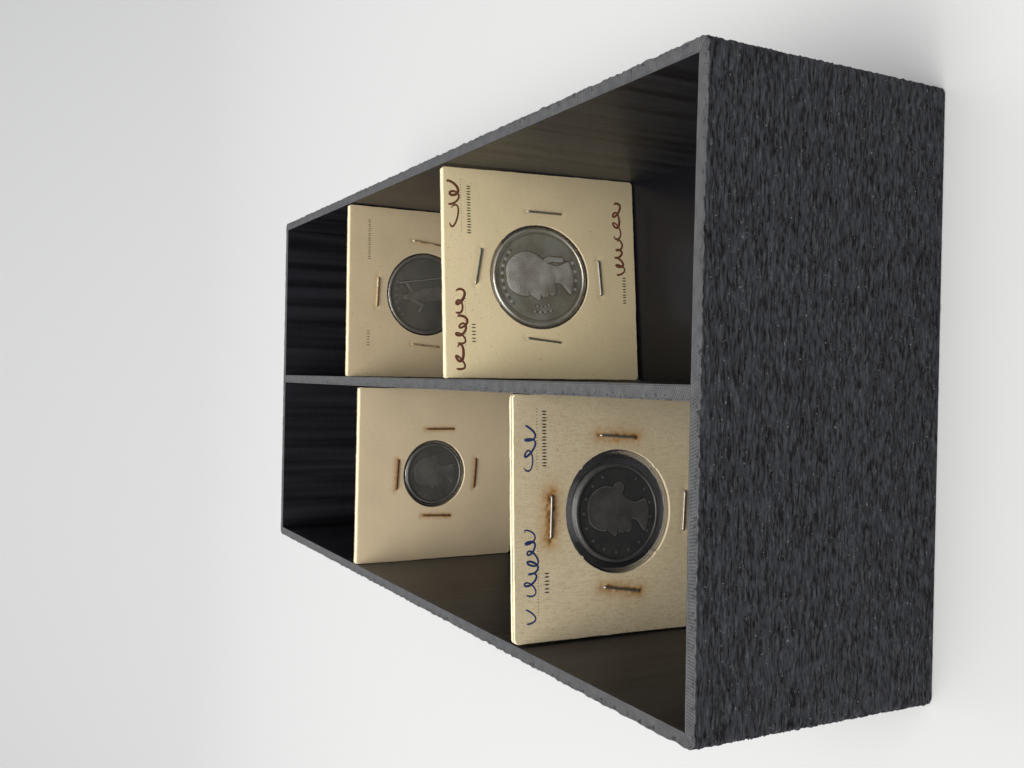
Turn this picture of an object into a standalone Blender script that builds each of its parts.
"""Coin display tray: a printed box with two lanes and a centre divider, holding four upright
coin holders. Each holder is a folded square of card with a round window, two clear films across
the window, a coin between the films, and four staples through both leaves of the card.

Metres, +Z up. The origin is the middle of the tray's underside, +X is right, +Y is the back.
"""

import math

import bmesh
import bpy
from mathutils import Matrix, Vector

# The tray: one printed body, open at the top.
TRAY_WIDTH = 0.1100
TRAY_LENGTH = 0.2336
TRAY_HEIGHT = 0.0530
WALL = 0.0024
DIVIDER = 0.0026
FLOOR = 0.0025
CORNER_RADIUS = 0.0015
CORNER_STEPS = 3

# A holder's card: two leaves of one sheet, folded along one edge.
CARD_SIDE = 0.0508
LEAF = 0.0007
LEAF_GAP = 0.0003
CARD_THICK = 2 * LEAF + LEAF_GAP
CARD_CORNER_RADIUS = 0.0010
REST_GAP = 0.00015

# The clear films: a flange between the leaves, and a dome that is drawn over the coin.
FILM = 0.00008
FILM_FLANGE = 0.0015
FILM_TO_COIN = 0.00005
FILM_TO_WINDOW = 0.00018
FILM_START = 0.00004

# The coins: a raised rim round a flat field on each face.
RIM_WIDTH = 0.0008
RIM_SLOPE = 0.0003
RIM_CHAMFER = 0.00015
FIELD_DEPTH = 0.00022

# The staples: round wire, with a crown in front and two legs folded flat behind.
WIRE_RADIUS = 0.00025
STAPLE_LENGTH = 0.0092
STAPLE_BEND = 0.00035
STAPLE_TO_CARD = 0.00005
LEG_FOLD = 0.0036
LEG_HOLE = 0.0007

ROUND_STEPS = 40
BEND_STEPS = 3
CUT_OVERRUN = 0.002
MERGE_DISTANCE = 0.00001

LANE_WIDTH = (TRAY_WIDTH - 2 * WALL - DIVIDER) / 2
LANE_CENTRE = (DIVIDER + LANE_WIDTH) / 2

# Where each holder stands. side is +1 for the right lane and -1 for the left, and off_centre
# shifts it towards the outer wall. In degrees, lean takes its top back, yaw turns it to the left
# and tip takes its top to the right, so that it stands on one bottom corner.
# window is the centre of the round window from the middle of the card (right, up), and coin_off
# is the coin's centre from the window's. Each staple has its middle's distance from the window's
# centre, its slip along its own length and its tilt in degrees.
HOLDERS = {
    "front_right": {
        "side": 1, "off_centre": 0.0002, "y": -0.0266, "lean": 7.9, "yaw": 5.8, "tip": 0.35,
        "fold": "top",
        "window": (-0.0003, 0.0006), "window_radius": 0.01294,
        "coin_radius": 0.01213, "coin_thick": 0.00175, "coin_off": (0.0, 0.0),
        "staples": {
            "top": (0.0159, 0.0019, -10.5), "right": (0.0160, -0.0014, -1.0),
            "bottom": (0.0160, 0.0004, 3.5), "left": (0.0157, -0.0006, -6.0),
        },
    },
    "front_left": {
        "side": -1, "off_centre": 0.0001, "y": -0.0587, "lean": 1.1, "yaw": 4.0, "tip": 0.3,
        "fold": "bottom",
        "window": (0.0006, -0.0002), "window_radius": 0.01325,
        "coin_radius": 0.01060, "coin_thick": 0.00195, "coin_off": (-0.0003, 0.0004),
        "staples": {
            "top": (0.0169, -0.0006, -2.5), "right": (0.0160, 0.0002, -3.5),
            "bottom": (0.0169, -0.0005, -5.0), "left": (0.0166, -0.0002, -9.0),
        },
    },
    "rear_right": {
        "side": 1, "off_centre": 0.00013, "y": 0.0477, "lean": 0.4, "yaw": 0.0, "tip": -0.3,
        "fold": "top",
        "window": (0.0, 0.0004), "window_radius": 0.01264,
        "coin_radius": 0.01213, "coin_thick": 0.00175, "coin_off": (0.0, 0.0),
        "staples": {
            "top": (0.0157, 0.0, -3.0), "right": (0.0157, 0.0, -6.0),
            "bottom": (0.0158, 0.0004, 2.0), "left": (0.0157, 0.0, -4.5),
        },
    },
    "rear_left": {
        "side": -1, "off_centre": 0.0001, "y": 0.03795, "lean": -1.0, "yaw": -0.6, "tip": -0.1,
        "fold": "top",
        "window": (0.0, 0.0010), "window_radius": 0.00998,
        "coin_radius": 0.00895, "coin_thick": 0.00135, "coin_off": (0.0, -0.0001),
        "staples": {
            "top": (0.0121, 0.0, -3.0), "right": (0.0133, -0.0015, 0.0),
            "bottom": (0.0133, -0.0002, -3.5), "left": (0.0125, -0.0007, -2.5),
        },
    },
}

# The direction from the window to each staple, and the direction that its crown runs in.
SIDES = {
    "top": (Vector((0, 0, 1)), Vector((1, 0, 0))),
    "right": (Vector((1, 0, 0)), Vector((0, 0, 1))),
    "bottom": (Vector((0, 0, -1)), Vector((1, 0, 0))),
    "left": (Vector((-1, 0, 0)), Vector((0, 0, 1))),
}


def clear_scene():
    for obj in list(bpy.data.objects):
        bpy.data.objects.remove(obj, do_unlink=True)


def new_collection(name, hidden=False):
    collection = bpy.data.collections.new(name)
    collection.hide_render = hidden
    bpy.context.scene.collection.children.link(collection)
    return collection


def new_material(name, colour, roughness, metallic=0.0, alpha=1.0):
    """A Principled material with one colour."""
    material = bpy.data.materials.new(name)
    material.use_nodes = True
    shader = material.node_tree.nodes["Principled BSDF"]
    shader.inputs["Base Color"].default_value = (*colour, 1.0)
    shader.inputs["Roughness"].default_value = roughness
    shader.inputs["Metallic"].default_value = metallic
    shader.inputs["Alpha"].default_value = alpha
    return material


def new_object(name, mesh_or_curve, collection, material=None, parent=None):
    obj = bpy.data.objects.new(name, mesh_or_curve)
    collection.objects.link(obj)
    if material:
        obj.data.materials.append(material)
    obj.parent = parent
    return obj


def as_cutter(obj):
    obj.hide_render = True
    obj.display_type = "WIRE"
    return obj


def box_mesh(name, blocks):
    """Closed blocks in one mesh, each given as its centre, its size and how it is turned."""
    bm = bmesh.new()
    for centre, size, turn in blocks:
        place = Matrix.Translation(centre) @ turn @ Matrix.Diagonal((*size, 1.0))
        bmesh.ops.create_cube(bm, size=1.0, matrix=place)
    mesh = bpy.data.meshes.new(name)
    bm.to_mesh(mesh)
    bm.free()
    return mesh


def rounded_block_mesh(name, size, axis, radius):
    """A block centred on the origin whose four edges along one axis are rounded."""
    bm = bmesh.new()
    bmesh.ops.create_cube(bm, size=1.0, matrix=Matrix.Diagonal((*size, 1.0)))
    along = [e for e in bm.edges
             if abs((e.verts[0].co - e.verts[1].co).normalized()[axis]) > 0.99]
    bmesh.ops.bevel(bm, geom=along, offset=radius, offset_type="OFFSET", profile=0.5,
                    segments=CORNER_STEPS, affect="EDGES")
    mesh = bpy.data.meshes.new(name)
    bm.to_mesh(mesh)
    bm.free()
    return mesh


def add_cut(obj, cutter):
    cut = obj.modifiers.new("cut_" + cutter.name, "BOOLEAN")
    cut.operation = "DIFFERENCE"
    cut.solver = "EXACT"
    cut.object = cutter


def turned_object(name, profile, collection, material, parent):
    """A turned piece: the (radius, height) points run down its outside, from the axis above to the
    axis below, and a Screw modifier turns them about Z."""
    mesh = bpy.data.meshes.new(name)
    mesh.from_pydata([(r, 0.0, z) for r, z in profile],
                     [(i, i + 1) for i in range(len(profile) - 1)], [])
    obj = new_object(name, mesh, collection, material, parent)
    screw = obj.modifiers.new("turn", "SCREW")
    screw.steps = ROUND_STEPS
    screw.render_steps = ROUND_STEPS
    screw.use_merge_vertices = True
    screw.merge_threshold = MERGE_DISTANCE
    screw.use_smooth_shade = True
    return obj


def offset_outwards(points, distance):
    """The (radius, height) points of a profile, moved sideways by a distance with mitred corners."""
    moved = []
    for i, point in enumerate(points):
        here = Vector(point)
        before = (here - Vector(points[i - 1])).normalized() if i > 0 else None
        after = (Vector(points[i + 1]) - here).normalized() if i < len(points) - 1 else None
        ways = [w for w in (before, after) if w]
        sides = [Vector((-w.y, w.x)) for w in ways]
        mitre = sum(sides, Vector((0, 0))).normalized()
        moved.append(here + mitre * (distance / mitre.dot(sides[0])))
    return [tuple(p) for p in moved]


def film_profile(holder):
    """One film: its dome from the axis over the coin, down to the window's edge, then the flange."""
    coin_face = holder["coin_thick"] / 2 + FILM_TO_COIN
    coin_edge = holder["coin_radius"] + math.hypot(*holder["coin_off"]) + FILM_TO_COIN
    window_edge = holder["window_radius"] - FILM_TO_WINDOW
    flange_edge = holder["window_radius"] + FILM_FLANGE
    under = [(0.0, coin_face), (coin_edge, coin_face), (window_edge, FILM_START),
             (flange_edge, FILM_START)]
    over = offset_outwards(under, FILM)
    return over + under[::-1]


def coin_profile(holder):
    """One coin: its field, raised rim and edge, the same on both faces."""
    half = holder["coin_thick"] / 2
    edge = holder["coin_radius"]
    field = half - FIELD_DEPTH
    upper = [(0.0, field), (edge - RIM_WIDTH - RIM_SLOPE, field), (edge - RIM_WIDTH, half),
             (edge - RIM_CHAMFER, half), (edge, half - RIM_CHAMFER)]
    return upper + [(r, -z) for r, z in reversed(upper)]


def arc(centre, start, end, steps):
    """Points on a quarter circle, from the start angle to the end angle in degrees."""
    points = []
    for i in range(steps + 1):
        angle = math.radians(start + (end - start) * i / steps)
        points.append((centre[0] + STAPLE_BEND * math.cos(angle),
                       centre[1] + STAPLE_BEND * math.sin(angle)))
    return points


def staple_path():
    """The wire's centre line as (along the crown, through the card), from one leg's tip to the
    other's. The crown is at the front, -Y, and the folded legs are behind the card."""
    leg = STAPLE_LENGTH / 2 - WIRE_RADIUS
    face = CARD_THICK / 2 + STAPLE_TO_CARD + WIRE_RADIUS
    bend = face - STAPLE_BEND
    half = [(leg - LEG_FOLD, face)]
    half += arc((leg - STAPLE_BEND, bend), 90, 0, BEND_STEPS)
    half += arc((leg - STAPLE_BEND, -bend), 0, -90, BEND_STEPS)
    return half + [(-x, y) for x, y in reversed(half)]


def staple_place(holder, side, spec):
    """The staple's middle and its turn about the card's normal, in the holder's own frame."""
    distance, slip, tilt = spec
    outward, along = SIDES[side]
    middle = window_centre(holder) + outward * distance + along * slip
    upright = side in ("left", "right")
    turn = Matrix.Rotation(math.radians(-tilt - (90 if upright else 0)), 4, "Y")
    return middle, turn


def window_centre(holder):
    right, up = holder["window"]
    return Vector((right, 0.0, CARD_SIDE / 2 + up))


def coin_centre(holder):
    right, up = holder["coin_off"]
    return window_centre(holder) + Vector((right, 0.0, up))


def make_tray(parts, cutters, material):
    """The printed body: floor, four walls and the divider, all one piece."""
    mesh = rounded_block_mesh("tray_body", (TRAY_WIDTH, TRAY_LENGTH, TRAY_HEIGHT), 2,
                              CORNER_RADIUS)
    mesh.transform(Matrix.Translation((0, 0, TRAY_HEIGHT / 2)))
    tray = new_object("tray_body", mesh, parts, material)
    lane_height = TRAY_HEIGHT - FLOOR + CUT_OVERRUN
    lane_size = (LANE_WIDTH, TRAY_LENGTH - 2 * WALL, lane_height)
    lanes = [(Vector((side * LANE_CENTRE, 0, FLOOR + lane_height / 2)), lane_size,
              Matrix.Identity(4)) for side in (-1, 1)]
    add_cut(tray, as_cutter(new_object("lanes", box_mesh("lanes", lanes), cutters)))
    return tray


def make_card(name, holder, frame, parts, cutters, material):
    """The folded card: two leaves joined along the fold, with the window and the staple holes."""
    mesh = rounded_block_mesh(name + "_card", (CARD_SIDE, CARD_THICK, CARD_SIDE), 1,
                              CARD_CORNER_RADIUS)
    middle = Vector((0, 0, CARD_SIDE / 2))
    mesh.transform(Matrix.Translation(middle))
    card = new_object(name + "_card", mesh, parts, material, frame)

    away = 1 if holder["fold"] == "bottom" else -1
    gap_height = CARD_SIDE - LEAF + CUT_OVERRUN
    gap_up = away * (LEAF + CUT_OVERRUN) / 2
    gap = [(middle + Vector((0, 0, gap_up)), (CARD_SIDE + CUT_OVERRUN, LEAF_GAP, gap_height),
            Matrix.Identity(4))]
    add_cut(card, as_cutter(new_object(name + "_leaf_gap", box_mesh("leaf_gap", gap), cutters,
                                       parent=frame)))

    bm = bmesh.new()
    bmesh.ops.create_cone(bm, cap_ends=True, segments=ROUND_STEPS,
                          radius1=holder["window_radius"], radius2=holder["window_radius"],
                          depth=CARD_THICK + CUT_OVERRUN)
    window_mesh = bpy.data.meshes.new("window")
    bm.to_mesh(window_mesh)
    bm.free()
    window_mesh.transform(Matrix.Translation(window_centre(holder))
                          @ Matrix.Rotation(math.radians(90), 4, "X"))
    add_cut(card, as_cutter(new_object(name + "_window_hole", window_mesh, cutters,
                                       parent=frame)))

    leg = STAPLE_LENGTH / 2 - WIRE_RADIUS
    holes = []
    for side, spec in holder["staples"].items():
        place, turn = staple_place(holder, side, spec)
        for way in (-1, 1):
            offset = turn @ Vector((way * leg, 0, 0))
            holes.append((place + offset, (LEG_HOLE, CARD_THICK + CUT_OVERRUN, LEG_HOLE), turn))
    add_cut(card, as_cutter(new_object(name + "_leg_holes", box_mesh("leg_holes", holes),
                                       cutters, parent=frame)))
    return card


def make_films(name, holder, frame, parts, material):
    """The front and back films, each turned about the coin's axis."""
    for label, tip in (("front", 90), ("back", -90)):
        film = turned_object(f"{name}_{label}_film", film_profile(holder), parts, material,
                             frame)
        film.location = window_centre(holder)
        film.rotation_euler = (math.radians(tip), 0, 0)


def make_coin(name, holder, frame, parts, material):
    coin = turned_object(name + "_coin", coin_profile(holder), parts, material, frame)
    coin.location = coin_centre(holder)
    coin.rotation_euler = (math.radians(90), 0, 0)


def make_staples(name, holder, frame, parts, material):
    """Four staples round the window, each a bent wire that passes through both leaves."""
    for side, spec in holder["staples"].items():
        curve = bpy.data.curves.new(f"{name}_staple_{side}", "CURVE")
        curve.dimensions = "3D"
        curve.bevel_depth = WIRE_RADIUS
        curve.bevel_resolution = 1
        curve.use_fill_caps = True
        spline = curve.splines.new("POLY")
        path = staple_path()
        spline.points.add(len(path) - 1)
        for point, (along, through) in zip(spline.points, path):
            point.co = (along, through, 0.0, 1.0)
        staple = new_object(curve.name, curve, parts, material, frame)
        place, turn = staple_place(holder, side, spec)
        staple.location = place
        staple.rotation_euler = turn.to_euler()


def make_holder(name, holder, parts, cutters, materials):
    """One coin holder, standing on the tray's floor on an empty at its bottom edge."""
    lean = math.radians(holder["lean"])
    tip = math.radians(holder["tip"])
    frame = bpy.data.objects.new(name + "_holder", None)
    parts.objects.link(frame)
    below = abs(math.sin(lean)) * CARD_THICK / 2 + abs(math.sin(tip)) * CARD_SIDE / 2
    rest = FLOOR + REST_GAP + below
    frame.location = (holder["side"] * (LANE_CENTRE + holder["off_centre"]), holder["y"], rest)
    frame.rotation_mode = "YXZ"
    frame.rotation_euler = (-lean, tip, math.radians(holder["yaw"]))
    make_card(name, holder, frame, parts, cutters, materials["card"])
    make_films(name, holder, frame, parts, materials["film"])
    make_coin(name, holder, frame, parts, materials[name + "_coin"])
    make_staples(name, holder, frame, parts, materials["staple"])


def main():
    clear_scene()
    parts = new_collection("coin_display_tray")
    cutters = new_collection("cutters", hidden=True)
    materials = {
        "tray": new_material("printed_plastic", (0.045, 0.047, 0.052), 0.45),
        "card": new_material("manila_card", (0.52, 0.42, 0.27), 0.85),
        "film": new_material("clear_film", (0.9, 0.9, 0.9), 0.1, alpha=0.25),
        "staple": new_material("staple_wire", (0.25, 0.24, 0.22), 0.35, 1.0),
        "front_right_coin": new_material("bright_silver", (0.45, 0.45, 0.46), 0.2, 1.0),
        "front_left_coin": new_material("dark_worn_nickel", (0.03, 0.03, 0.03), 0.5, 1.0),
        "rear_right_coin": new_material("dark_bronze", (0.08, 0.07, 0.06), 0.45, 1.0),
        "rear_left_coin": new_material("dark_grey_silver", (0.09, 0.09, 0.08), 0.45, 1.0),
    }
    make_tray(parts, cutters, materials["tray"])
    for name, holder in HOLDERS.items():
        make_holder(name, holder, parts, cutters, materials)


main()
